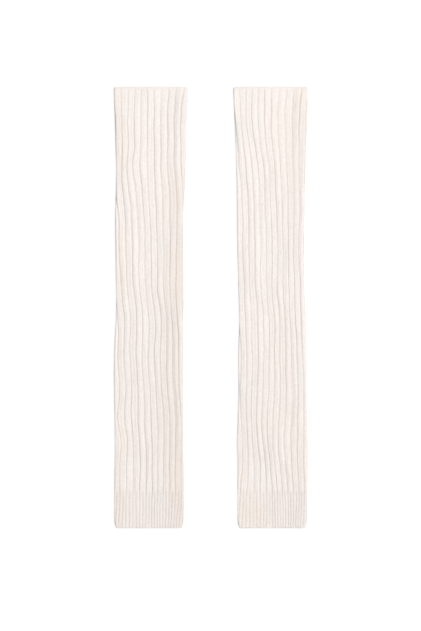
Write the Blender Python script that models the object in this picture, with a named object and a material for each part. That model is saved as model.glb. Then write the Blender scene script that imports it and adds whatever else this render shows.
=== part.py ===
"""A pair of long ribbed leg warmers, laid flat side by side.

Each one is a knitted tube pressed flat, so its front layer lies on its back layer. The
long leg is in wide rib, open at the top, and the ankle cuff below it is in fine rib. The
ribs are raised in the outer side of the wall over a plain inside, apart from the
underside, which rests flat. The tubes have rolled a little as they were laid, so each rib
wanders sideways on its way down.

Frame: +Y towards the open tops, +X to the right as seen from above, +Z up from the
surface that they lie on. The origin is at the centre of the pair, on that surface.
"""

import math
from collections import namedtuple

import bpy
import numpy as np

MM = 0.001

# Lengths, in millimetres
LENGTH = 700.0
CUFF_HEIGHT = 56.0
CENTRE_SPACING = 190.5
SEAM_GAP = 0.3

# Cloth, in millimetres
BACK_LAYER = 2.4
FRONT_LAYER = 2.3
LAYER_GAP = 0.5
SIDE_BULGE = 3.2
INNER_BULGE = 0.8

# Ribs: a wide rib of the leg runs on as two fine ribs of the cuff
RIBS = 24
FINE_PER_RIB = 2
RIB_RELIEF = 1.4
FINE_RELIEF = 0.9
RIB_SHARPNESS = 4.0
FINE_SHARPNESS = 2.4
RIB_POINTS = (0.0, 0.17, 0.5, 0.83)
FINE_POINTS = (0.0, 0.32, 0.68)
RIBS_PER_SIDE = 0.85

# Edges: the ribs go flat towards the bound-off top, and both mouths gape a little
TOP_FADE = 18.0
TOP_RELIEF_SHARE = 0.35
TOP_GAPE = 1.0
HEM_GAPE = 0.6
GAPE_REACH = 36.0
HEM_CORNER_HEIGHT = 7.0
HEM_CORNER_INSET = 3.6

# Rings of the mesh: the most that two may lie apart, and those of a rounded hem corner
LEG_STEP = 22.0
CUFF_STEP = 12.0
HEM_CORNER_RINGS = (0.12, 0.4, 1.0)

# Sections from the open top down to the hem. Height is above the hem. The other columns
# are measured across from the leg warmer's own centre line: its two edges, and the
# grooves left of ribs 0, 3, 6 and 9.
Section = namedtuple("Section", "height left right groove_0 groove_3 groove_6 groove_9")
COUNTED_GROOVES = (0, 3, 6, 9)

# A section as it lies: the ends of its flat front, the rib at the left end, and how many
# ribs the front and the back take. Ribs are looked for in this range, in this many steps.
Pressed = namedtuple("Pressed", "section left right first front back")
RIB_SEARCH = (-6.0, 16.0, 89)

LEFT_SECTIONS = (
    Section(700, -59.5, 59.5, -58.0, -24.5, 5.5, 40.0),
    Section(650, -57.5, 57.5, -55.0, -25.5, 5.5, 37.0),
    Section(605, -56.0, 56.0, -54.0, -25.5, 6.5, 38.0),
    Section(575, -55.5, 55.0, -54.0, -28.0, 6.0, 38.0),
    Section(537, -55.5, 54.0, -53.5, -23.5, 7.5, 41.0),
    Section(498, -56.0, 52.5, -51.0, -20.0, 9.5, 42.0),
    Section(440, -55.5, 52.0, -49.0, -18.5, 11.0, 41.5),
    Section(385, -55.5, 52.0, -46.5, -17.0, 11.5, 40.0),
    Section(327, -56.0, 52.0, -41.0, -12.0, 17.0, 43.5),
    Section(270, -58.0, 51.5, -42.0, -13.0, 16.0, 44.5),
    Section(213, -58.0, 51.5, -39.0, -10.0, 18.5, 46.0),
    Section(175, -57.0, 51.5, -41.0, -9.0, 21.0, 49.0),
    Section(137, -58.0, 52.0, -37.0, -7.5, 22.0, 49.0),
    Section(98, -58.0, 52.5, -37.5, -6.5, 20.5, 49.0),
    Section(56, -58.0, 52.5, -38.0, -6.5, 20.5, 49.0),
    Section(0, -57.5, 52.5, -39.5, -7.5, 19.5, 46.0),
)

RIGHT_SECTIONS = (
    Section(700, -60.5, 59.5, -58.5, -29.5, 1.5, 38.5),
    Section(650, -58.0, 58.0, -55.0, -29.5, 0.5, 34.0),
    Section(605, -56.0, 56.0, -51.5, -24.5, 3.5, 35.0),
    Section(575, -55.0, 55.5, -50.0, -20.0, 6.5, 35.5),
    Section(537, -54.0, 55.0, -45.5, -17.5, 8.0, 36.5),
    Section(498, -53.5, 54.0, -44.5, -16.5, 10.0, 37.0),
    Section(440, -52.5, 53.5, -43.5, -15.5, 11.5, 36.5),
    Section(385, -52.5, 53.5, -42.0, -15.0, 11.0, 38.0),
    Section(327, -51.0, 55.5, -39.5, -11.0, 14.5, 40.0),
    Section(270, -51.5, 56.0, -37.5, -10.5, 15.0, 42.0),
    Section(213, -51.0, 57.0, -38.5, -12.5, 15.5, 44.0),
    Section(175, -52.0, 58.0, -38.0, -14.0, 13.5, 43.0),
    Section(137, -54.0, 58.5, -36.5, -12.0, 12.5, 42.5),
    Section(98, -53.0, 58.5, -35.0, -8.0, 15.0, 43.5),
    Section(56, -52.5, 58.0, -37.5, -6.0, 19.0, 45.0),
    Section(0, -52.5, 57.5, -39.5, -6.0, 20.5, 44.0),
)

# Finish: soft acrylic and wool yarn in ivory
IVORY = (0.90, 0.83, 0.77, 1.0)
YARN_ROUGHNESS = 0.95


def clear_scene():
    for thing in list(bpy.data.objects):
        bpy.data.objects.remove(thing, do_unlink=True)


def smooth_curve(knots, values, at):
    """Cubic curve through the values, straight beyond its ends. The knots rise."""
    if at <= knots[0]:
        slope = (values[1] - values[0]) / (knots[1] - knots[0])
        return values[0] + slope * (at - knots[0])
    if at >= knots[-1]:
        slope = (values[-1] - values[-2]) / (knots[-1] - knots[-2])
        return values[-1] + slope * (at - knots[-1])
    slopes = np.gradient(np.asarray(values, float), np.asarray(knots, float))
    i = int(np.searchsorted(knots, at, side="right")) - 1
    width = knots[i + 1] - knots[i]
    t = (at - knots[i]) / width
    start = (1 + 2 * t) * (1 - t) ** 2 * values[i] + t * (1 - t) ** 2 * width * slopes[i]
    end = t * t * (3 - 2 * t) * values[i + 1] - t * t * (1 - t) * width * slopes[i + 1]
    return start + end


def section_at(sections, height):
    """The section at any height, on smooth curves down each column of the table."""
    rising = sections[::-1]
    heights = [row.height for row in rising]
    columns = list(zip(*rising))[1:]
    return Section(height, *(smooth_curve(heights, column, height) for column in columns))


def groove_across(section, rib):
    """How far across the front the groove left of a rib lies, for fractions of ribs too."""
    return smooth_curve(COUNTED_GROOVES, section[3:], rib)


def rib_across(section, across):
    """The rib, with its fraction, that lies at a place across the front."""
    ribs = np.linspace(*RIB_SEARCH)
    places = [groove_across(section, rib) for rib in ribs]
    return float(np.interp(across, places, ribs))


def corner_inset(height):
    """How far the sides draw in at the rounded corners of the hem."""
    rise = min(1.0, height / HEM_CORNER_HEIGHT)
    return HEM_CORNER_INSET * (1.0 - math.sqrt(1.0 - (1.0 - rise) ** 2))


def gape(height):
    """How far the front layer lifts off the back one towards either mouth."""
    top = max(0.0, 1.0 - (LENGTH - height) / GAPE_REACH)
    hem = max(0.0, 1.0 - height / GAPE_REACH)
    return TOP_GAPE * top + HEM_GAPE * hem


def rib_strength(height):
    """Share of the full relief, which fades towards the bound-off edge."""
    fade = max(0.0, 1.0 - (LENGTH - height) / TOP_FADE)
    return 1.0 - (1.0 - TOP_RELIEF_SHARE) * fade


def rib_swell(turn, sharpness):
    """Height of a rib across its width, from 0 in the groove to 1 on the crest."""
    return 1.0 - abs(2.0 * (turn % 1.0) - 1.0) ** sharpness


def pressed_at(sections, height):
    """How the tube lies at a height: the ends of its flat front, and the ribs on each side."""
    section = section_at(sections, height)
    inset = corner_inset(height) + RIB_RELIEF + SIDE_BULGE
    left, right = section.left + inset, section.right - inset
    first = rib_across(section, left)
    front = rib_across(section, right) - first
    back = RIBS - front - 2.0 * RIBS_PER_SIDE
    return Pressed(section, left, right, first, front, back)


def tube_point(pressed, rib, low, high, bulge):
    """Where a rib lies on the pressed tube, the way out of the wall, and how raised it is.

    The tube has a flat front at height high, a flat back at height low, and half an
    ellipse at each side, which takes its own share of the ribs.
    """
    turn = (rib - pressed.first) % RIBS
    if turn < pressed.front:
        across = groove_across(pressed.section, pressed.first + turn)
        return across, high, 0.0, 1.0, 1.0
    turn -= pressed.front
    if RIBS_PER_SIDE <= turn < RIBS_PER_SIDE + pressed.back:
        share = (turn - RIBS_PER_SIDE) / pressed.back
        return pressed.right + share * (pressed.left - pressed.right), low, 0.0, -1.0, 0.0
    on_right = turn < RIBS_PER_SIDE
    past_front = turn if on_right else RIBS - pressed.front - turn
    angle = math.pi * (0.5 - past_front / RIBS_PER_SIDE)
    out, up = math.cos(angle), math.sin(angle)
    raised = 1.0 if up > 0.0 else out * out
    centre, way = (pressed.right, 1.0) if on_right else (pressed.left, -1.0)
    across = centre + way * bulge * out
    height = 0.5 * (low + high) + 0.5 * (high - low) * up
    return across, height, way * out, up, raised


def outer_ring(pressed, ribs, relief, sharpness, per_rib):
    height = pressed.section.height
    high = BACK_LAYER + LAYER_GAP + gape(height) + FRONT_LAYER
    full = relief * rib_strength(height)
    ring = []
    for rib in ribs:
        across, up, out_x, out_z, raised = tube_point(pressed, rib, 0.0, high, SIDE_BULGE)
        lift = full * raised * rib_swell(rib * per_rib, sharpness)
        ring.append((across + lift * out_x, max(0.0, up + lift * out_z)))
    return ring


def inner_ring(pressed, ribs):
    high = BACK_LAYER + LAYER_GAP + gape(pressed.section.height)
    return [tube_point(pressed, rib, BACK_LAYER, high, INNER_BULGE)[:2] for rib in ribs]


def tube_faces(rings, points):
    """Quads of a closed wall: its outside, its inside and the rim at each end."""
    faces = []
    inside = rings * points
    for ring in range(rings - 1):
        for point in range(points):
            after = (point + 1) % points
            a, b = ring * points + point, ring * points + after
            c, d = b + points, a + points
            faces.append((a, b, c, d))
            faces.append((inside + d, inside + c, inside + b, inside + a))
    end = (rings - 1) * points
    for point in range(points):
        after = (point + 1) % points
        faces.append((after, point, inside + point, inside + after))
        faces.append((end + point, end + after, inside + end + after, inside + end + point))
    return faces


def stations(low, high, step):
    """Heights of the rings, upwards, close together only where the hem's corners turn."""
    count = math.ceil((high - low) / step)
    heights = [low + (high - low) * i / count for i in range(count + 1)]
    if low < HEM_CORNER_HEIGHT:
        heights += [HEM_CORNER_HEIGHT * share for share in HEM_CORNER_RINGS]
    if high > LENGTH - TOP_FADE:
        heights += [LENGTH - TOP_FADE]
    return sorted(heights)


def knit_tube(name, sections, centre, heights, ribs, relief, sharpness, per_rib):
    """One closed wall of ribbed cloth between two heights, as an object of its own."""
    outer, inner = [], []
    for height in heights:
        pressed = pressed_at(sections, height)
        along = height - 0.5 * LENGTH
        for across, up in outer_ring(pressed, ribs, relief, sharpness, per_rib):
            outer.append(((centre + across) * MM, along * MM, up * MM))
        for across, up in inner_ring(pressed, ribs):
            inner.append(((centre + across) * MM, along * MM, up * MM))
    mesh = bpy.data.meshes.new(name)
    mesh.from_pydata(outer + inner, [], tube_faces(len(heights), len(ribs)))
    mesh.validate()
    mesh.shade_smooth()
    mesh.materials.append(yarn_material(name + "_yarn"))
    thing = bpy.data.objects.new(name, mesh)
    bpy.context.scene.collection.objects.link(thing)
    return thing


def yarn_material(name):
    material = bpy.data.materials.new(name)
    material.use_nodes = True
    shader = material.node_tree.nodes["Principled BSDF"]
    shader.inputs["Base Color"].default_value = IVORY
    shader.inputs["Roughness"].default_value = YARN_ROUGHNESS
    shader.inputs["Metallic"].default_value = 0.0
    return material


def leg(name, sections, centre):
    heights = stations(CUFF_HEIGHT + 0.5 * SEAM_GAP, LENGTH, LEG_STEP)
    ribs = [rib + point for rib in range(RIBS) for point in RIB_POINTS]
    return knit_tube(name, sections, centre, heights, ribs, RIB_RELIEF, RIB_SHARPNESS, 1)


def cuff(name, sections, centre):
    heights = stations(0.0, CUFF_HEIGHT - 0.5 * SEAM_GAP, CUFF_STEP)
    ribs = [
        (fine + point) / FINE_PER_RIB
        for fine in range(RIBS * FINE_PER_RIB)
        for point in FINE_POINTS
    ]
    return knit_tube(
        name, sections, centre, heights, ribs, FINE_RELIEF, FINE_SHARPNESS, FINE_PER_RIB
    )


clear_scene()
for side, sections, centre in (
    ("left", LEFT_SECTIONS, -0.5 * CENTRE_SPACING),
    ("right", RIGHT_SECTIONS, 0.5 * CENTRE_SPACING),
):
    leg("leg_" + side, sections, centre)
    cuff("cuff_" + side, sections, centre)
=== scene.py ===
import math
from collections import namedtuple

import bpy
import numpy as np
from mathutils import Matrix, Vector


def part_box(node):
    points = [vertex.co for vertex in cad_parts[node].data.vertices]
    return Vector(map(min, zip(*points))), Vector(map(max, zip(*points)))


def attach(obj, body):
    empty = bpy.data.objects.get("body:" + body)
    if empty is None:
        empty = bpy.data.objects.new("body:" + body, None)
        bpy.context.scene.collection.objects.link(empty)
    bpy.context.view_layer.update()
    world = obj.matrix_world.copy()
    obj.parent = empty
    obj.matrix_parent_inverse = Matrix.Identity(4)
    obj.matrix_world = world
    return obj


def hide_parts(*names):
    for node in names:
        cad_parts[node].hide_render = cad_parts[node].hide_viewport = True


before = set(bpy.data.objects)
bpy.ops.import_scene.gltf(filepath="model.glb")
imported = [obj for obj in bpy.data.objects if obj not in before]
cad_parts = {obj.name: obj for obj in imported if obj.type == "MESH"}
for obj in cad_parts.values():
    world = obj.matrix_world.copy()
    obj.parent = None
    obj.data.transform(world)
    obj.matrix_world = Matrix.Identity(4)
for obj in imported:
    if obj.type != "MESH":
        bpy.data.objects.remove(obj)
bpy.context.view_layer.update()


# The leg tubes
# Each leg is knitted in the round in wide rib, three plain stitches and one purl, from
# soft ivory yarn. It lies pressed flat, front on back, and its ribs wander a little,
# because the tube was rolled as it was laid. All sizes are in millimetres.
MM = 0.001
HEM_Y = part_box("cuff_left")[0].y / MM
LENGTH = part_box("leg_left")[1].y / MM - HEM_Y
SEAM = 0.5 * (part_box("cuff_left")[1].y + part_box("leg_left")[0].y) / MM - HEM_Y
CENTRE_SPACING = 190.5
CENTRE_LINES = {"left": -0.5 * CENTRE_SPACING, "right": 0.5 * CENTRE_SPACING}

RIBS = 24
STITCHES_PER_RIB = 4
FINE_RIBS_PER_RIB = 2
COURSE_HEIGHT = 2.05
BACK_LAYER = 2.4
FRONT_LAYER = 2.3
LAYER_GAP = 0.5

# The folds: how far the outside and the inside of the wall bulge out there, how square
# they are, how much further right they lie than in the solids, how many ribs each one
# takes up, and the power by which its ribs die away towards the underside.
SIDE_BULGE = 3.2
INNER_BULGE = 0.8
FOLD_SQUARENESS = 0.45
FOLD_SHIFT = 0.9
RIBS_PER_SIDE = 1.15
UNDERSIDE_POWER = 8

# Relief of the wide rib in all, the parts of it that are the rib's roundness and its
# columns of stitches, the relief of the fine rib, and how far to either side of the seam
# the one runs out into the other.
RIB_RELIEF = 1.9
ROUND_RELIEF = 0.35
COLUMN_RELIEF = 0.25
FINE_RELIEF = 0.9
SEAM_BLEND = 3.6

# Sections from the open top down to the hem: the height above the hem, and across from
# the leg's own centre line its two edges and the grooves left of ribs 0, 3, 6 and 9.
Section = namedtuple("Section", "height left right groove_0 groove_3 groove_6 groove_9")
COUNTED_GROOVES = (0, 3, 6, 9)
SECTIONS = {
    "left": (
        Section(700, -59.5, 59.5, -58.0, -24.5, 5.5, 42.5),
        Section(650, -57.5, 57.5, -55.0, -25.5, 5.5, 37.3),
        Section(605, -56.0, 56.0, -54.0, -25.5, 6.5, 38.0),
        Section(575, -55.5, 55.0, -54.0, -28.0, 6.0, 38.0),
        Section(537, -55.5, 54.0, -53.5, -23.5, 7.5, 41.0),
        Section(498, -56.0, 52.5, -51.0, -20.0, 9.5, 42.0),
        Section(440, -55.5, 52.0, -49.0, -18.5, 11.0, 41.5),
        Section(385, -55.5, 52.0, -46.5, -17.0, 11.5, 40.0),
        Section(327, -56.0, 52.0, -41.0, -12.0, 17.0, 43.5),
        Section(270, -58.0, 51.5, -42.0, -13.0, 16.0, 44.5),
        Section(213, -58.0, 51.5, -39.0, -10.0, 18.5, 46.0),
        Section(175, -57.0, 51.5, -41.0, -9.0, 21.0, 49.0),
        Section(137, -58.0, 52.0, -37.0, -7.5, 22.0, 49.0),
        Section(98, -58.0, 52.5, -37.5, -6.5, 20.5, 49.0),
        Section(56, -58.0, 52.5, -38.0, -6.5, 20.5, 49.0),
        Section(0, -57.5, 52.5, -39.5, -7.5, 19.5, 46.0),
    ),
    "right": (
        Section(700, -60.5, 59.5, -58.5, -29.5, 1.5, 38.5),
        Section(650, -58.0, 58.0, -55.0, -29.5, 0.5, 34.0),
        Section(605, -56.0, 56.0, -51.5, -24.5, 3.5, 35.0),
        Section(575, -55.0, 55.5, -50.0, -20.0, 6.5, 35.5),
        Section(537, -54.0, 55.0, -45.5, -17.5, 8.0, 36.5),
        Section(498, -53.5, 54.0, -44.5, -16.5, 10.0, 37.0),
        Section(440, -52.5, 53.5, -43.5, -15.5, 11.5, 36.5),
        Section(385, -52.5, 53.5, -42.0, -15.0, 11.0, 38.0),
        Section(327, -51.0, 55.5, -39.5, -11.0, 14.5, 40.0),
        Section(270, -51.5, 56.0, -37.5, -10.5, 15.0, 42.0),
        Section(213, -51.0, 57.0, -38.5, -12.5, 15.5, 44.0),
        Section(175, -52.0, 58.0, -38.0, -14.0, 13.5, 43.0),
        Section(137, -54.0, 58.5, -36.5, -12.0, 12.5, 42.5),
        Section(98, -53.0, 58.5, -35.0, -8.0, 15.0, 43.5),
        Section(56, -52.5, 58.0, -37.5, -6.0, 19.0, 45.0),
        Section(0, -52.5, 57.5, -39.5, -6.0, 20.5, 44.0),
    ),
}

# The rib numbers that are tried to find where a section's folds start: from, to, how many.
RIB_SEARCH = (-6.0, 16.0, 89)

# Small wander of the ribs on top of the sections: how far in ribs, how many waves round
# the tube, how far down the leg a wave takes, and where it starts.
Wander = namedtuple("Wander", "ribs waves_round wave_length start")
WANDERS = (
    Wander(0.030, 2, 118.0, 0.10),
    Wander(0.028, -5, 83.0, 0.45),
    Wander(0.018, 7, 52.0, 0.80),
    Wander(0.010, -11, 37.0, 0.30),
)

# Soft swells and troughs of the front layer: where each one's middle is, how far it
# reaches along and across, and how high it rises. The first ones lie along the folds.
Swell = namedtuple("Swell", "height across length width rise")
SWELLS = {
    "left": (
        Swell(560, 52.0, 190.0, 18.0, 1.7),
        Swell(230, 51.0, 260.0, 19.0, 1.9),
        Swell(590, -48.0, 150.0, 20.0, 1.5),
        Swell(300, -50.0, 220.0, 16.0, 1.0),
        Swell(590, -14.0, 46.0, 20.0, 0.6),
        Swell(480, 8.0, 120.0, 20.0, -0.5),
        Swell(330, -24.0, 50.0, 16.0, 0.5),
        Swell(140, -33.0, 60.0, 10.0, -0.6),
        Swell(120, 4.0, 90.0, 16.0, 0.4),
        Swell(465, -24.0, 110.0, 15.0, 0.45),
        Swell(390, 22.0, 70.0, 14.0, 0.3),
        Swell(50, 4.0, 50.0, 14.0, 0.45),
    ),
    "right": (
        Swell(560, -46.0, 160.0, 23.0, 1.9),
        Swell(250, -45.0, 210.0, 20.0, 1.5),
        Swell(620, 54.0, 110.0, 18.0, 1.5),
        Swell(400, 51.0, 170.0, 12.0, 0.7),
        Swell(130, 54.0, 150.0, 17.0, 1.5),
        Swell(500, 12.0, 110.0, 18.0, -0.4),
        Swell(330, 14.0, 90.0, 9.0, -0.7),
        Swell(300, 28.0, 120.0, 10.0, 0.5),
        Swell(200, -6.0, 50.0, 16.0, 0.8),
        Swell(450, -25.0, 170.0, 16.0, 0.6),
        Swell(655, -40.0, 40.0, 20.0, -0.6),
        Swell(50, 2.0, 50.0, 13.0, 0.4),
    ),
}

# Places where the ribs lie softer than elsewhere, or stand out more, with the share of
# their relief that they have there.
ReliefPlace = namedtuple("ReliefPlace", "height across length width share")
RELIEF_PLACES = {
    "left": (
        ReliefPlace(668, -28.0, 26.0, 24.0, 0.6),
        ReliefPlace(675, 16.0, 26.0, 13.0, 0.5),
        ReliefPlace(362, -56.0, 40.0, 7.0, 0.5),
        ReliefPlace(136, -58.0, 40.0, 6.0, 0.6),
        ReliefPlace(668, 47.0, 28.0, 9.0, 1.3),
    ),
    "right": (
        ReliefPlace(640, 22.0, 75.0, 20.0, 0.45),
        ReliefPlace(545, 42.0, 60.0, 12.0, 0.6),
        ReliefPlace(668, -34.0, 24.0, 14.0, 0.7),
        ReliefPlace(358, -52.0, 62.0, 7.0, 0.4),
        ReliefPlace(668, 47.0, 32.0, 7.0, 1.6),
    ),
}

# Places that are slightly darker and warmer, partly the yarn's own tone and partly painted
# shade, with how strong it is.
WarmShadePlace = namedtuple("WarmShadePlace", "height across length width strength")
WARM_SHADE_PLACES = {
    "left": (
        WarmShadePlace(480, 38.0, 130.0, 16.0, 0.8),
        WarmShadePlace(200, 36.0, 200.0, 20.0, 0.9),
        WarmShadePlace(55, -54.0, 60.0, 9.0, 1.0),
        WarmShadePlace(680, -56.0, 26.0, 12.0, 0.7),
        WarmShadePlace(400, -50.0, 40.0, 8.0, 0.6),
        WarmShadePlace(680, 46.0, 40.0, 16.0, 0.35),
        WarmShadePlace(470, 50.0, 110.0, 10.0, 0.5),
        WarmShadePlace(70, 50.0, 70.0, 12.0, 0.8),
        WarmShadePlace(20, -32.0, 40.0, 22.0, 0.5),
        WarmShadePlace(185, -10.0, 95.0, 50.0, 0.3),
        WarmShadePlace(625, -49.0, 60.0, 11.0, 0.8),
    ),
    "right": (
        WarmShadePlace(625, 47.0, 70.0, 18.0, 0.65),
        WarmShadePlace(690, 58.0, 40.0, 10.0, 1.1),
        WarmShadePlace(110, 42.0, 80.0, 18.0, 0.6),
        WarmShadePlace(655, 10.0, 60.0, 22.0, 0.5),
        WarmShadePlace(510, 36.0, 120.0, 14.0, 0.5),
        WarmShadePlace(415, -46.0, 40.0, 8.0, 0.6),
        WarmShadePlace(235, 30.0, 60.0, 12.0, 0.5),
        WarmShadePlace(75, -42.0, 40.0, 14.0, 0.4),
        WarmShadePlace(22, -24.0, 30.0, 24.0, 1.0),
        WarmShadePlace(185, 0.0, 95.0, 50.0, 0.25),
    ),
}

# Painted shade and light at the folds: how far in from the edge they reach, how much darker
# the right folds, which face the key light, are painted, and the left folds' share of that,
# which paints the left folds, which lie in shade, paler.
FOLD_SHADE_REACH = 6.0
FOLD_PAINTED_SHADE = 0.08
LEFT_FOLD_PAINTED_LIGHT_SHARE = -0.6

# How far the two mouths gape, how far the corners of the open top droop, and the
# rounded corners of the hem.
TOP_GAPE = 1.0
HEM_GAPE = 0.6
GAPE_REACH = 36.0
TOP_BOW = 1.1
TOP_BOW_REACH = 40.0
TOP_BOW_POWER = 4
TOP_HALF_WIDTH = SECTIONS["left"][0].right
HEM_CORNER_HEIGHT = 16.0
HEM_CORNER_INSET = 4.5

# The wall's grid, and its rounded rims at the two mouths. The first row beside the seam
# lies close to it, which keeps the cut edge crisp.
LEG_POINTS_ROUND = 384
LEG_ROWS = 196
LEG_INSIDE_ROWS = 22
RIM_DEPTH = 0.9
RIM_SHARES = (0.14, 0.5, 0.86)
SEAM_ROW_STEP = 0.08


def smooth_curve(knots, values, at):
    """Cubic curve through the values, straight beyond its ends. The knots rise."""
    knots, values = np.asarray(knots, float), np.asarray(values, float)
    at = np.asarray(at, float)
    slopes = np.gradient(values, knots)
    i = np.clip(np.searchsorted(knots, at, side="right") - 1, 0, len(knots) - 2)
    width = knots[i + 1] - knots[i]
    t = np.clip((at - knots[i]) / width, 0.0, 1.0)
    start = (1 + 2 * t) * (1 - t) ** 2 * values[i] + t * (1 - t) ** 2 * width * slopes[i]
    end = t * t * (3 - 2 * t) * values[i + 1] - t * t * (1 - t) * width * slopes[i + 1]
    below = np.minimum(at - knots[0], 0.0) * slopes[0]
    beyond = np.maximum(at - knots[-1], 0.0) * slopes[-1]
    return start + end + below + beyond


def section_at(side, height):
    """The section of a leg at any height, between those of the table."""
    rising = SECTIONS[side][::-1]
    heights = [row.height for row in rising]
    columns = list(zip(*rising))[1:]
    return Section(height, *(float(smooth_curve(heights, column, height)) for column in columns))


def groove_places(section, ribs):
    """Across places of rib numbers on the front layer."""
    return smooth_curve(COUNTED_GROOVES, section[3:], ribs)


def corner_inset(height):
    """How far the sides draw in at the rounded corners of the hem."""
    rise = min(1.0, height / HEM_CORNER_HEIGHT)
    return HEM_CORNER_INSET * (1.0 - math.sqrt(1.0 - (1.0 - rise) ** 2))


def side_relief(height):
    """How far the ribs stand out at the folds: less on the fine rib below the seam."""
    share = min(1.0, max(0.0, 0.5 + 0.5 * (height - SEAM) / SEAM_BLEND))
    return FINE_RELIEF + share * (RIB_RELIEF - FINE_RELIEF)


def gape(height):
    """How far the front layer lifts off the back one towards either mouth."""
    top = max(0.0, 1.0 - (LENGTH - height) / GAPE_REACH)
    hem = max(0.0, 1.0 - height / GAPE_REACH)
    return TOP_GAPE * top * top + HEM_GAPE * hem * hem


def top_bow(across, height):
    """How far the corners of the open top droop below its middle."""
    near = max(0.0, 1.0 - (LENGTH - height) / TOP_BOW_REACH)
    return TOP_BOW * near * near * np.abs(across / TOP_HALF_WIDTH) ** TOP_BOW_POWER


def wander(ribs, height):
    """How far the ribs stray from their even places, in ribs."""
    shift = np.zeros_like(ribs)
    for wave in WANDERS:
        turns = wave.waves_round * ribs / RIBS + height / wave.wave_length + wave.start
        shift += wave.ribs * np.sin(2.0 * math.pi * turns)
    return shift


def nearness(place, across, height):
    """1 at the middle of a swell, a relief place or a warm place, falling to 0 away from it."""
    along = (height - place.height) / place.length
    aside = (across - place.across) / place.width
    return np.exp(-along * along - aside * aside)


def swell_of(side, across, height):
    """How far the front layer rises at a place."""
    return sum(swell.rise * nearness(swell, across, height) for swell in SWELLS[side])


def firmness(side, across, height):
    """The share of the ribs' relief that they have at a place."""
    share = np.ones_like(across)
    for place in RELIEF_PLACES[side]:
        share -= (1.0 - place.share) * nearness(place, across, height)
    return share


def warmth_and_painted_shade(side, across, height):
    """How strong the darker, warmer tone is at a place, partly painted shade."""
    return sum(place.strength * nearness(place, across, height) for place in WARM_SHADE_PLACES[side])


def painted_fold_shade_and_light(side, across, height):
    """Painted shade and light of the folds: 1 at the right one, less than 0 at the left one, 0
    between.
    """
    section = section_at(side, height)
    left_fold = np.clip(1.0 - (across - section.left) / FOLD_SHADE_REACH, 0.0, 1.0)
    right_fold = np.clip(1.0 - (section.right - across) / FOLD_SHADE_REACH, 0.0, 1.0)
    return LEFT_FOLD_PAINTED_LIGHT_SHARE * left_fold + right_fold


Layers = namedtuple("Layers", "left right first front back turn past on_front on_right on_back")


def layers_of(section, ribs):
    """Tells which ribs lie on the front layer, in the right fold and on the back layer.

    The ribs are followed from the front layer's left edge: turn counts from there, and
    past counts from its right edge. What lies on none of the three is in the left fold.
    """
    inset = corner_inset(section.height) + side_relief(section.height) + SIDE_BULGE
    left = section.left + inset + FOLD_SHIFT
    right = section.right - inset + FOLD_SHIFT
    search = np.linspace(*RIB_SEARCH)
    first, last = np.interp((left, right), groove_places(section, search), search)
    front = last - first
    back = RIBS - front - 2.0 * RIBS_PER_SIDE
    turn = (ribs - first) % RIBS
    past = turn - front
    on_front = turn < front
    on_right = ~on_front & (past < RIBS_PER_SIDE)
    on_back = ~on_front & ~on_right & (past < RIBS_PER_SIDE + back)
    return Layers(left, right, first, front, back, turn, past, on_front, on_right, on_back)


def fold_way(layers):
    """The way out of the wall at the folds, across and up, and how far it is stretched."""
    past_front = np.where(layers.on_right, layers.past, RIBS - layers.front - layers.past)
    angle = math.pi * (0.5 - past_front / RIBS_PER_SIDE)
    way = np.where(layers.on_right, 1.0, -1.0)
    out_x, out_z = way * np.cos(angle), np.sin(angle)
    squared = np.abs(out_x) ** (2.0 / FOLD_SQUARENESS) + np.abs(out_z) ** (2.0 / FOLD_SQUARENESS)
    return out_x, out_z, squared ** (-0.5 * FOLD_SQUARENESS)


def by_layer(layers, front, back, fold):
    """Picks for each rib the value of the front layer, of the back one or of the folds."""
    return np.where(layers.on_front, front, np.where(layers.on_back, back, fold))


Ring = namedtuple("Ring", "across up out_x out_z raised")


def ring_of_wall(side, height, ribs, low, high, bulge):
    """Where ribs lie round the pressed tube at a height, and the way out of the wall there.

    The tube reaches up from low to high, and its folds bulge out. Raised is 1 where the
    ribs stand free and 0 on the underside, where they are pressed on the surface.
    """
    section = section_at(side, height)
    layers = layers_of(section, ribs)
    out_x, out_z, stretch = fold_way(layers)
    edge = np.where(layers.on_right, layers.right, layers.left)
    along_back = (layers.past - RIBS_PER_SIDE) / layers.back
    across = by_layer(
        layers,
        groove_places(section, layers.first + layers.turn),
        layers.right + along_back * (layers.left - layers.right),
        edge + bulge * out_x * stretch,
    )
    raised = by_layer(layers, 1.0, 0.0, np.where(out_z > 0.0, 1.0, out_x ** UNDERSIDE_POWER))
    rise = by_layer(layers, 1.0, -1.0, out_z * stretch)
    up = 0.5 * (low + high) + 0.5 * (high - low) * rise
    up = up + swell_of(side, across, height) * np.maximum(0.0, rise)
    out_x = by_layer(layers, 0.0, 0.0, out_x)
    out_z = by_layer(layers, 1.0, -1.0, out_z)
    return Ring(across, up, out_x, out_z, raised)


def wall_rings(side, height, ribs):
    """The outside and the inside of the wall at a height."""
    strayed = ribs + wander(ribs, height)
    inner_high = BACK_LAYER + LAYER_GAP + gape(height)
    outer = ring_of_wall(side, height, strayed, 0.0, inner_high + FRONT_LAYER, SIDE_BULGE)
    inner = ring_of_wall(side, height, strayed, BACK_LAYER, inner_high, INNER_BULGE)
    return outer, inner


def points_at(side, height, across, up):
    """Points in metres, from how far across the leg's centre line and how far up they are."""
    along = HEM_Y + height - top_bow(across, height)
    return np.stack([CENTRE_LINES[side] + across, along, up], 1) * MM


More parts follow.
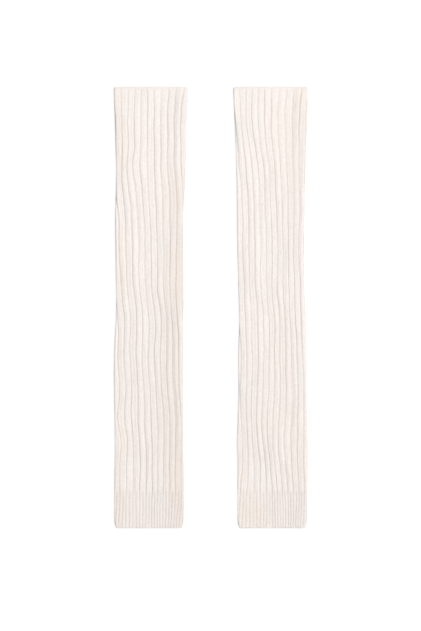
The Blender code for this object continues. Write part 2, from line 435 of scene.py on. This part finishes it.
def wall_row(side, height, share, ribs):
    """The points of one row of the wall, and what the rib tree and the yarn need there."""
    outer, inner = wall_rings(side, height, ribs)
    across = (1.0 - share) * outer.across + share * inner.across
    up = (1.0 - share) * outer.up + share * inner.up
    free = max(0.0, 1.0 - 2.0 * share)
    return {
        "points": points_at(side, height, across, up),
        "out": np.stack([outer.out_x, np.zeros(len(ribs)), outer.out_z], 1),
        "rib": ribs,
        "height": np.full(len(ribs), height),
        "raised": outer.raised * free,
        "under": (1.0 - outer.raised) * free,
        "firm": firmness(side, across, height),
        # Darker, warmer tone, partly painted shade.
        "warm_tone_and_shade": warmth_and_painted_shade(side, across, height),
        # Painted shade at the right folds and painted light at the left ones.
        "fold_painted_shade": painted_fold_shade_and_light(side, across, height),
    }


def grid_faces(row_count, points_round):
    """Faces of a grid that closes both ways, as lists of their four points."""
    row = np.arange(row_count)[:, None]
    point = np.arange(points_round)[None, :]
    next_row = (row + 1) % row_count
    next_point = (point + 1) % points_round
    corners = (
        row * points_round + point,
        row * points_round + next_point,
        next_row * points_round + next_point,
        next_row * points_round + point,
    )
    return np.stack([corner.ravel() for corner in corners], 1).tolist()


def shade_wall(mesh, rows, points_round):
    """Shades the wall smooth, apart from the faces that go straight through it at the seam."""
    mesh.shade_smooth()
    shares = [share for height, share in rows]
    cut = [abs(share - after) == 1.0 for share, after in zip(shares, shares[1:] + shares[:1])]
    flat = mesh.attributes.new("sharp_face", "BOOLEAN", "FACE")
    flat.data.foreach_set("value", np.repeat(cut, points_round))


def lay_stitch_map(mesh, rows, points_round):
    """UV map that counts stitches round the tube and courses along it."""
    stitches_round = RIBS * STITCHES_PER_RIB
    step = stitches_round / points_round
    grid = (len(rows), points_round)
    stitch = np.broadcast_to(np.arange(points_round) * stitches_round / points_round, grid)
    course = np.broadcast_to([[height / COURSE_HEIGHT] for height, share in rows], grid)
    after = np.roll(course, -1, axis=0)
    corners = [(stitch, course), (stitch + step, course), (stitch + step, after), (stitch, after)]
    flat = np.stack([np.stack(corner, -1) for corner in corners], 2)
    mesh.uv_layers.new(name="stitches").uv.foreach_set("vector", flat.reshape(-1).astype(np.float32))


def wall_mesh(name, side, rows, points_round):
    """A closed wall of cloth as a grid. Each row is a height and a share through the wall.

    The share is 0 on the outside and 1 on the inside. The mesh carries the values of
    wall_row as attributes, and a UV map in stitches.
    """
    ribs = np.arange(points_round) * RIBS / points_round
    made = [wall_row(side, height, share, ribs) for height, share in rows]
    wall = {key: np.concatenate([row[key] for row in made]) for key in made[0]}
    points, out = wall.pop("points"), wall.pop("out")
    mesh = bpy.data.meshes.new(name)
    mesh.from_pydata(points.tolist(), [], grid_faces(len(rows), points_round))
    shade_wall(mesh, rows, points_round)
    for key, values in wall.items():
        mesh.attributes.new(key, "FLOAT", "POINT").data.foreach_set("value", values)
    mesh.attributes.new("out", "FLOAT_VECTOR", "POINT").data.foreach_set("vector", out.ravel())
    lay_stitch_map(mesh, rows, points_round)
    return mesh


def feed(tree, socket, value):
    """Links an output to a socket, or sets the socket's own value."""
    if isinstance(value, bpy.types.NodeSocket):
        tree.links.new(value, socket)
    else:
        socket.default_value = value


def add_node(tree, kind, inputs, **settings):
    """A node of a kind with its settings and inputs, as its first output."""
    made = tree.nodes.new(kind)
    for name, value in settings.items():
        setattr(made, name, value)
    for name, value in inputs.items():
        feed(tree, made.inputs[name], value)
    return made.outputs[0]


def calc(tree, operation, *values, clamp=False):
    """A maths node in a geometry or shader tree."""
    return add_node(
        tree, "ShaderNodeMath", dict(enumerate(values)), operation=operation, use_clamp=clamp
    )


def product(tree, first, *others):
    for other in others:
        first = calc(tree, "MULTIPLY", first, other)
    return first


def between(tree, share, low, high):
    """Goes from low to high as the share goes from 0 to 1."""
    return calc(tree, "ADD", low, product(tree, share, calc(tree, "SUBTRACT", high, low)))


def vector_of(tree, x, y, z=0.0):
    return add_node(tree, "ShaderNodeCombineXYZ", {"X": x, "Y": y, "Z": z})


def noise(tree, place, scale, detail):
    return add_node(
        tree, "ShaderNodeTexNoise", {"Vector": place, "Scale": scale, "Detail": detail}
    )


def bow(tree, turn, power):
    """1 in the middle of each turn and 0 at its ends, flat on top as the power grows."""
    away = calc(tree, "ABSOLUTE", calc(tree, "MULTIPLY_ADD", calc(tree, "FRACT", turn), 2.0, -1.0))
    return calc(tree, "SUBTRACT", 1.0, calc(tree, "POWER", away, power))


def read_attribute(tree, name, kind="FLOAT"):
    return add_node(tree, "GeometryNodeInputNamedAttribute", {"Name": name}, data_type=kind)


def new_tree(name, piece, dials):
    """A geometry tree for a piece, with its named dials and its yarn, and the tree's inputs."""
    tree = bpy.data.node_groups.new(name, "GeometryNodeTree")
    face = tree.interface
    face.new_socket(name=piece, in_out="INPUT", socket_type="NodeSocketGeometry")
    face.new_socket(name=piece, in_out="OUTPUT", socket_type="NodeSocketGeometry")
    for dial, default in dials.items():
        kind = "NodeSocketInt" if isinstance(default, int) else "NodeSocketFloat"
        face.new_socket(name=dial, in_out="INPUT", socket_type=kind).default_value = default
    face.new_socket(name="Yarn", in_out="INPUT", socket_type="NodeSocketMaterial")
    return tree, tree.nodes.new("NodeGroupInput").outputs


def end_tree(tree, geometry, yarn):
    """Sets the yarn on what a tree has made, and hands it out."""
    painted = add_node(
        tree, "GeometryNodeSetMaterial", {"Geometry": geometry, "Material": yarn}
    )
    tree.links.new(painted, tree.nodes.new("NodeGroupOutput").inputs[0])


def rib_profile(tree, dial):
    """The crest, 1 on top of a rib and 0 in its groove, and the ribs' relief."""
    rib, height = read_attribute(tree, "rib"), read_attribute(tree, "height")
    # The purl column lies in the groove, half a stitch to either side of it.
    stitch = calc(tree, "MULTIPLY_ADD", rib, STITCHES_PER_RIB, 0.5)
    column = bow(tree, stitch, dial["Round sharpness"])
    wide = bow(tree, rib, dial["Wide sharpness"])
    fine = bow(tree, calc(tree, "MULTIPLY", rib, FINE_RIBS_PER_RIB), dial["Fine sharpness"])

    rounded = product(tree, bow(tree, rib, dial["Round sharpness"]), dial["Round relief"])
    wide_relief = calc(tree, "ADD", product(tree, wide, dial["Wide relief"]), rounded)
    columns = product(tree, column, wide, dial["Column relief"])
    wide_relief = calc(tree, "ADD", wide_relief, columns)
    fine_relief = product(tree, fine, dial["Fine relief"])

    above_seam = calc(tree, "SUBTRACT", height, dial["Seam height"])
    share = calc(tree, "DIVIDE", above_seam, dial["Seam blend"])
    share = calc(tree, "MULTIPLY_ADD", share, 0.5, 0.5, clamp=True)
    crest = between(tree, share, fine, wide)
    return crest, between(tree, share, fine_relief, wide_relief)


def relief_strength(tree, dial):
    """Fades the relief towards the open top, and makes it uneven from place to place."""
    rib, height = read_attribute(tree, "rib"), read_attribute(tree, "height")
    below_top = calc(tree, "SUBTRACT", dial["Top height"], height)
    full = calc(tree, "DIVIDE", below_top, dial["Top fade"], clamp=True)
    strength = between(tree, full, dial["Top share"], 1.0)

    angle = calc(tree, "MULTIPLY", rib, 2.0 * math.pi / RIBS)
    reach = calc(tree, "MULTIPLY", dial["Patches round"], 0.5 / math.pi)
    patch = vector_of(
        tree,
        product(tree, calc(tree, "COSINE", angle), reach),
        product(tree, calc(tree, "SINE", angle), reach),
        calc(tree, "DIVIDE", height, dial["Patch length"]),
    )
    uneven = calc(tree, "SUBTRACT", noise(tree, patch, scale=1.0, detail=1.0), 0.5)
    uneven = product(tree, uneven, dial["Unevenness"])
    strength = product(tree, strength, calc(tree, "ADD", 1.0, uneven))
    return product(tree, strength, read_attribute(tree, "firm"))


def rib_tree():
    """Raises the ribs: wide ones with their columns of stitches, and fine ones below the seam.

    On the underside the grooves are sunk instead. The crest is kept for the yarn, which paints
    shade into the grooves by it.
    """
    tree, dial = new_tree("Rib knit", "Cloth", {
        "Wide relief": RIB_RELIEF - ROUND_RELIEF - COLUMN_RELIEF,
        "Wide sharpness": 6.0,
        "Round relief": ROUND_RELIEF,
        "Round sharpness": 2.0,
        "Column relief": COLUMN_RELIEF,
        "Fine relief": FINE_RELIEF,
        "Fine sharpness": 2.4,
        "Under relief": 0.8,
        "Seam height": SEAM,
        "Seam blend": SEAM_BLEND,
        "Top height": LENGTH,
        "Top fade": 20.0,
        "Top share": 0.4,
        "Unevenness": 1.9,
        "Patches round": 26.0,
        "Patch length": 130.0,
    })
    crest, relief = rib_profile(tree, dial)
    strength = relief_strength(tree, dial)
    raised = product(tree, read_attribute(tree, "raised"), product(tree, relief, strength))
    sunk = product(tree, calc(tree, "SUBTRACT", crest, 1.0), dial["Under relief"])
    sunk = product(tree, read_attribute(tree, "under"), sunk)
    lift = product(tree, calc(tree, "ADD", raised, sunk), MM)
    out = read_attribute(tree, "out", "FLOAT_VECTOR")
    offset = add_node(tree, "ShaderNodeVectorMath", {0: out, "Scale": lift}, operation="SCALE")
    cloth = add_node(
        tree, "GeometryNodeSetPosition", {"Geometry": dial["Cloth"], "Offset": offset}
    )
    # How much painted shade the grooves get, less where the relief is weaker.
    groove_shade_share = product(tree, calc(tree, "SUBTRACT", 1.0, crest), strength)
    cloth = add_node(
        tree,
        "GeometryNodeStoreNamedAttribute",
        {"Geometry": cloth, "Name": "crest", "Value": calc(tree, "SUBTRACT", 1.0, groove_shade_share)},
        data_type="FLOAT",
        domain="POINT",
    )
    cloth = add_node(tree, "GeometryNodeRealizeInstances", {"Geometry": cloth})
    end_tree(tree, cloth, dial["Yarn"])
    return tree


def set_dial(modifier, name, value):
    """Sets a named input of a modifier's tree by its identifier."""
    for item in modifier.node_group.interface.items_tree:
        if item.name == name and item.in_out == "INPUT":
            modifier[item.identifier] = value
            return
    raise KeyError(name)


def knit(name, mesh, tree, dials):
    """Runs a tree on a mesh and keeps the result as a plain object at the origin."""
    rough = bpy.data.objects.new(name + "_rough", mesh)
    bpy.context.scene.collection.objects.link(rough)
    modifier = rough.modifiers.new("knit", "NODES")
    modifier.node_group = tree
    for dial, value in dials.items():
        set_dial(modifier, dial, value)
    seen = rough.evaluated_get(bpy.context.evaluated_depsgraph_get())
    made = bpy.data.meshes.new_from_object(seen)
    made.name = name
    bpy.data.objects.remove(rough)
    piece = bpy.data.objects.new(name, made)
    bpy.context.scene.collection.objects.link(piece)
    return piece


# The yarn: its shine, its patches of tone and of saturation, its darker, warmer tint, which
# is partly painted shade, the tone of each stitch, the painted shade in the lines between
# strands, and its fuzz and stitches as bump.
YARN_ROUGHNESS = 0.9
YARN_SPECULAR = 0.25
YARN_SHEEN = 0.08
YARN_SHEEN_ROUGHNESS = 0.5
PATCH_SCALE = 14.0
FUZZ_SCALE = 1400.0
NOISE_DETAIL = 3.0
PATCH_TONE = 0.05
PATCH_SATURATION = 0.5
# A darker, warmer tint, partly painted shade.
WARM_SHADE_TINT = (0.965, 0.945, 0.925, 1.0)
STITCH_TONE = 0.065
# Painted shade in the lines between strands.
STRAND_GAP_SHADE = 0.06
STRAND_SLANT = 0.75
STRAND_SHARPNESS = 2.5
FUZZ_HEIGHT = 0.25
BUMP_STRENGTH = 0.8
BUMP_DEPTH = 0.5


def around_one(tree, value, spread):
    """Spreads a value from 0 to 1 evenly to both sides of 1."""
    return calc(tree, "MULTIPLY_ADD", value, spread, 1.0 - 0.5 * spread)


def painted_on(tree, name):
    """A value that the mesh carries, or 0 where it has none."""
    made = tree.nodes.new("ShaderNodeAttribute")
    made.attribute_name = name
    return made.outputs["Fac"]


def mix_colours(tree, share, first, second, way="MIX"):
    """Mixes two colours, by the node's sockets for colours, 6 and 7, and its output 2."""
    made = tree.nodes.new("ShaderNodeMix")
    made.data_type = "RGBA"
    made.blend_type = way
    for socket, value in zip((0, 6, 7), (share, first, second)):
        feed(tree, made.inputs[socket], value)
    return made.outputs[2]


def strands(tree):
    """The slanted strands of the V stitches, their two legs, and a chance value for each."""
    parts = tree.nodes.new("ShaderNodeSeparateXYZ")
    tree.links.new(add_node(tree, "ShaderNodeUVMap", {}, uv_map="stitches"), parts.inputs[0])
    across = calc(tree, "ADD", parts.outputs["X"], 0.5)
    aside = calc(tree, "MULTIPLY_ADD", calc(tree, "FRACT", across), 2.0, -1.0)
    aside = calc(tree, "ABSOLUTE", aside)
    along = calc(tree, "SUBTRACT", parts.outputs["Y"], product(tree, aside, STRAND_SLANT))
    strand = bow(tree, along, STRAND_SHARPNESS)
    leg = bow(tree, aside, STRAND_SHARPNESS)
    cell = vector_of(tree, calc(tree, "FLOOR", across), calc(tree, "FLOOR", along))
    chance = add_node(tree, "ShaderNodeTexWhiteNoise", {"Vector": cell}, noise_dimensions="2D")
    return strand, leg, chance


def yarn_of(name, crest_colour, groove_shade_colour, stitched):
    """Soft ivory yarn with a fine fuzz: paler on the crests, with painted shade in the grooves,
    darker and warmer in places, partly by painted shade, and with painted shade and light at
    the folds.

    A stitched yarn also shows the V of each stitch, with a faint tone of its own and painted
    shade in the lines between strands.
    """
    material = bpy.data.materials.new(name)
    material.use_nodes = True
    tree = material.node_tree
    shader = tree.nodes["Principled BSDF"]
    shader.inputs["Roughness"].default_value = YARN_ROUGHNESS
    shader.inputs["Specular IOR Level"].default_value = YARN_SPECULAR
    shader.inputs["Sheen Weight"].default_value = YARN_SHEEN
    shader.inputs["Sheen Roughness"].default_value = YARN_SHEEN_ROUGHNESS

    place = tree.nodes.new("ShaderNodeTexCoord").outputs["Object"]
    patch = noise(tree, place, PATCH_SCALE, NOISE_DETAIL)
    # Painted shade darkens the right folds and painted light brightens the left ones.
    fold_painted_shade = calc(tree, "MULTIPLY_ADD", painted_on(tree, "fold_painted_shade"), -FOLD_PAINTED_SHADE, 1.0)
    brightness = product(tree, around_one(tree, patch, PATCH_TONE), fold_painted_shade)
    height = product(tree, noise(tree, place, FUZZ_SCALE, NOISE_DETAIL), FUZZ_HEIGHT)
    if stitched:
        strand, leg, chance = strands(tree)
        height = calc(tree, "ADD", height, product(tree, strand, leg))
        # Painted shade darkens the lines between the strands.
        line = calc(tree, "MULTIPLY_ADD", strand, STRAND_GAP_SHADE, 1.0 - STRAND_GAP_SHADE)
        brightness = product(tree, brightness, around_one(tree, chance, STITCH_TONE), line)

    # Painted shade in the grooves: the groove colour where the crest falls to 0.
    colour = mix_colours(tree, painted_on(tree, "crest"), groove_shade_colour, crest_colour)
    # Darker and warmer in places, partly painted shade.
    colour = mix_colours(tree, painted_on(tree, "warm_tone_and_shade"), colour, WARM_SHADE_TINT, "MULTIPLY")
    saturation = around_one(tree, patch, PATCH_SATURATION)
    colour = add_node(
        tree,
        "ShaderNodeHueSaturation",
        {"Color": colour, "Saturation": saturation, "Value": brightness},
    )
    bump = add_node(
        tree,
        "ShaderNodeBump",
        {"Strength": BUMP_STRENGTH, "Distance": BUMP_DEPTH * MM, "Height": height},
    )
    tree.links.new(colour, shader.inputs["Base Color"])
    tree.links.new(bump, shader.inputs["Normal"])
    return material


def rim_rows(height, way):
    """Rows of a rounded rim, from the outside of the wall over its edge to the inside."""
    depths = [RIM_DEPTH * (1.0 - math.sin(math.pi * share)) for share in RIM_SHARES]
    return [(height - way * depth, share) for depth, share in zip(depths, RIM_SHARES)]


LEG_CREST = (0.85, 0.795, 0.754, 1.0)
# Darker in the grooves, as painted shade.
LEG_GROOVE_SHADE = (0.75, 0.685, 0.64, 1.0)

ribbed = rib_tree()
leg_yarn = yarn_of("leg_yarn", LEG_CREST, LEG_GROOVE_SHADE, stitched=True)
legs = {}
for side in CENTRE_LINES:
    outside = np.linspace(SEAM + SEAM_ROW_STEP, LENGTH - RIM_DEPTH, LEG_ROWS)
    inside = np.linspace(LENGTH - RIM_DEPTH, SEAM, LEG_INSIDE_ROWS)
    rows = [(SEAM, 0.0)]
    rows += [(height, 0.0) for height in outside]
    rows += rim_rows(LENGTH, 1.0)
    rows += [(height, 1.0) for height in inside]
    legs[side] = knit(
        "knit_leg_" + side,
        wall_mesh("leg_" + side + "_wall", side, rows, LEG_POINTS_ROUND),
        ribbed,
        {"Yarn": leg_yarn},
    )
    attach(legs[side], "root")
    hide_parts("leg_" + side)


# The ankle cuffs
# Each cuff is knitted on in fine rib, one plain stitch and one purl, so every wide rib
# of the leg runs on as two fine ones. It ends in the cast-on edge, with soft corners.
CUFF_POINTS_ROUND = 480
CUFF_ROWS = 34
CUFF_INSIDE_ROWS = 8
CUFF_CREST = (0.845, 0.79, 0.75, 1.0)
# Darker in the grooves, as painted shade.
CUFF_GROOVE_SHADE = (0.76, 0.695, 0.65, 1.0)

cuff_yarn = yarn_of("cuff_yarn", CUFF_CREST, CUFF_GROOVE_SHADE, stitched=True)
cuffs = {}
for side in CENTRE_LINES:
    outside = np.linspace(RIM_DEPTH, SEAM - SEAM_ROW_STEP, CUFF_ROWS)
    inside = np.linspace(SEAM, RIM_DEPTH, CUFF_INSIDE_ROWS)
    rows = [(height, 0.0) for height in outside]
    rows += [(SEAM, 0.0)]
    rows += [(height, 1.0) for height in inside]
    rows += rim_rows(0.0, -1.0)[::-1]
    cuffs[side] = knit(
        "knit_cuff_" + side,
        wall_mesh("cuff_" + side + "_wall", side, rows, CUFF_POINTS_ROUND),
        ribbed,
        {"Yarn": cuff_yarn},
    )
    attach(cuffs[side], "root")
    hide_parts("cuff_" + side)


# The bound-off top edges and the cast-on hems
# A chain of yarn links closes the last course round the open top, one link a stitch, and
# a tighter one starts the first course at the hem. Both are worked in the same yarn, but the
# cast-on yarn is painted paler, as painted light on the hem's rim, which faces away from
# the key light.
LINK_POINTS = 12
LINK_SIDES = 6
BOUND_OFF_IVORY = (0.80, 0.74, 0.70, 1.0)
# Paler than the bound-off yarn, as painted light on the hem's rim, which faces away from the key
# light.
CAST_ON_PAINTED_LIGHT_IVORY = (0.86, 0.81, 0.775, 1.0)

# How far a chain lies above the middle of the wall on the front, and on the underside,
# where it would reach into the floor otherwise.
CHAIN_RISE = 0.2
CHAIN_LIFT = 0.6


def yarn_link(tree, dial):
    """One oval link: a ring 1 mm wide, stretched to the link's size and given its yarn."""
    ring = add_node(
        tree,
        "GeometryNodeCurvePrimitiveCircle",
        {"Resolution": LINK_POINTS, "Radius": 0.5 * MM},
    )
    size = vector_of(tree, dial["Link length"], dial["Link width"], 1.0)
    oval = add_node(tree, "GeometryNodeTransform", {"Geometry": ring, "Scale": size})
    strand = add_node(
        tree,
        "GeometryNodeCurvePrimitiveCircle",
        {"Resolution": LINK_SIDES, "Radius": product(tree, dial["Yarn radius"], MM)},
    )
    return add_node(tree, "GeometryNodeCurveToMesh", {"Curve": oval, "Profile Curve": strand})


def link_turn(tree, dial):
    """Turns each link along the rim and its face outwards, then tilts and slants it."""
    tangent = tree.nodes.new("GeometryNodeInputTangent").outputs[0]
    along = add_node(tree, "FunctionNodeAlignRotationToVector", {"Vector": tangent}, axis="X")
    facing = add_node(
        tree,
        "FunctionNodeAlignRotationToVector",
        {"Rotation": along, "Vector": read_attribute(tree, "facing", "FLOAT_VECTOR")},
        axis="Z",
        pivot_axis="X",
    )
    angles = vector_of(tree, dial["Tilt"], dial["Slant"])
    tilt = add_node(tree, "FunctionNodeEulerToRotation", {"Euler": angles})
    return add_node(
        tree,
        "FunctionNodeRotateRotation",
        {"Rotation": facing, "Rotate By": tilt},
        rotation_space="LOCAL",
    )


def chain_tree():
    """Sets one link of yarn at each stitch along a rim."""
    tree, dial = new_tree("Edge chain", "Rim", {
        "Link length": 3.6,
        "Link width": 2.0,
        "Yarn radius": 0.5,
        "Tilt": 0.5,
        "Slant": 0.25,
        "Links": RIBS * STITCHES_PER_RIB,
    })
    rim = add_node(tree, "GeometryNodeMeshToCurve", {"Mesh": dial["Rim"]})
    stitches = add_node(
        tree, "GeometryNodeResampleCurve", {"Curve": rim, "Count": dial["Links"]}
    )
    links = add_node(
        tree,
        "GeometryNodeInstanceOnPoints",
        {
            "Points": stitches,
            "Instance": yarn_link(tree, dial),
            "Rotation": link_turn(tree, dial),
        },
    )
    links = add_node(tree, "GeometryNodeRealizeInstances", {"Geometry": links})
    links = add_node(tree, "GeometryNodeSetShadeSmooth", {"Geometry": links})
    end_tree(tree, links, dial["Yarn"])
    return tree


def rim_mesh(name, side, height, facing_y):
    """The closed line that a chain follows round the wall, and which way its links face."""
    count = 2 * RIBS * STITCHES_PER_RIB
    outer, inner = wall_rings(side, height, np.arange(count) * RIBS / count)
    across = 0.5 * (outer.across + inner.across)
    up = 0.5 * (outer.up + inner.up) + CHAIN_RISE * outer.raised * outer.out_z
    up = up + CHAIN_LIFT * (1.0 - outer.raised)
    mesh = bpy.data.meshes.new(name)
    edges = [(i, (i + 1) % count) for i in range(count)]
    mesh.from_pydata(points_at(side, height, across, up).tolist(), edges, [])
    facing = np.tile((0.0, facing_y, 0.0), count)
    mesh.attributes.new("facing", "FLOAT_VECTOR", "POINT").data.foreach_set("vector", facing)
    return mesh


chained = chain_tree()
bound_off_yarn = yarn_of("bound_off_yarn", BOUND_OFF_IVORY, BOUND_OFF_IVORY, stitched=False)
# The cast-on yarn is painted paler, as painted light on the hem's rim.
cast_on_painted_light_yarn = yarn_of("cast_on_painted_light_yarn", CAST_ON_PAINTED_LIGHT_IVORY, CAST_ON_PAINTED_LIGHT_IVORY, stitched=False)
for side in CENTRE_LINES:
    bound_off = knit(
        "bound_off_edge_" + side,
        rim_mesh("top_rim_" + side, side, LENGTH - RIM_DEPTH, 1.0),
        chained,
        {"Yarn": bound_off_yarn},
    )
    cast_on = knit(
        "cast_on_edge_" + side,
        rim_mesh("hem_rim_" + side, side, RIM_DEPTH, -1.0),
        chained,
        {"Yarn": cast_on_painted_light_yarn, "Link length": 3.2, "Link width": 2.1},
    )
    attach(bound_off, "root")
    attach(cast_on, "root")


# The floor, the lights and the camera
# A plain floor that glows and so comes out white, under a soft key light and an even
# fill, seen from straight above through a long lens. From here on sizes are in metres.
WHITE = (1.0, 1.0, 1.0, 1.0)
FLOOR_SIZE = 24.0
FLOOR_TONE = (0.12, 0.12, 0.12, 1.0)
FLOOR_GLOW = 0.88
FLOOR_DROP = 0.0002

half = 0.5 * FLOOR_SIZE
floor_corners = [(x * half, y * half, -FLOOR_DROP) for x, y in ((-1, -1), (1, -1), (1, 1), (-1, 1))]
floor_mesh = bpy.data.meshes.new("floor")
floor_mesh.from_pydata(floor_corners, [], [(0, 1, 2, 3)])
floor = bpy.data.objects.new("floor", floor_mesh)
bpy.context.scene.collection.objects.link(floor)
floor_paint = bpy.data.materials.new("floor_paint")
floor_paint.use_nodes = True
floor_shader = floor_paint.node_tree.nodes["Principled BSDF"]
floor_shader.inputs["Base Color"].default_value = FLOOR_TONE
floor_shader.inputs["Roughness"].default_value = 1.0
floor_shader.inputs["Specular IOR Level"].default_value = 0.0
floor_shader.inputs["Emission Color"].default_value = WHITE
floor_shader.inputs["Emission Strength"].default_value = FLOOR_GLOW
floor_mesh.materials.append(floor_paint)

FILL_STRENGTH = 0.50
KEY_PLACE = (1.8, 0.95, 5.0)
KEY_SIZE = 2.2
KEY_POWER = 260.0

world = bpy.data.worlds.new("studio")
world.use_nodes = True
world.node_tree.nodes["Background"].inputs["Color"].default_value = WHITE
world.node_tree.nodes["Background"].inputs["Strength"].default_value = FILL_STRENGTH
bpy.context.scene.world = world

key_lamp = bpy.data.lights.new("key", "AREA")
key_lamp.shape = "DISK"
key_lamp.size = KEY_SIZE
key_lamp.energy = KEY_POWER
key = bpy.data.objects.new("key", key_lamp)
bpy.context.scene.collection.objects.link(key)
key.location = KEY_PLACE
way = -np.array(KEY_PLACE) / np.linalg.norm(KEY_PLACE)
key.rotation_euler = (math.acos(-way[2]), 0.0, math.atan2(-way[0], way[1]))

# The photo's size, its column midway between the two legs, its row at the hem, and how
# many of its rows the legs take, so that the camera sees just what the photo does.
PHOTO_WIDTH, PHOTO_HEIGHT = 421.0, 631.0
PHOTO_MIDDLE, PHOTO_HEM = 210.0, 528.0
LEG_PIXELS = 441.0
CAMERA_HEIGHT = 6.0
CAMERA_REACH = 50.0
SENSOR_HEIGHT = 36.0

scale = LENGTH * MM / LEG_PIXELS
camera_data = bpy.data.cameras.new("camera")
camera_data.sensor_fit = "VERTICAL"
camera_data.sensor_height = SENSOR_HEIGHT
camera_data.lens = SENSOR_HEIGHT * CAMERA_HEIGHT / (PHOTO_HEIGHT * scale)
camera_data.clip_end = CAMERA_REACH
camera = bpy.data.objects.new("camera", camera_data)
camera.location = (
    (0.5 * PHOTO_WIDTH - PHOTO_MIDDLE) * scale,
    HEM_Y * MM + (PHOTO_HEM - 0.5 * PHOTO_HEIGHT) * scale,
    CAMERA_HEIGHT,
)
bpy.context.scene.collection.objects.link(camera)
bpy.context.scene.camera = camera
bpy.context.scene.view_settings.view_transform = "Standard"
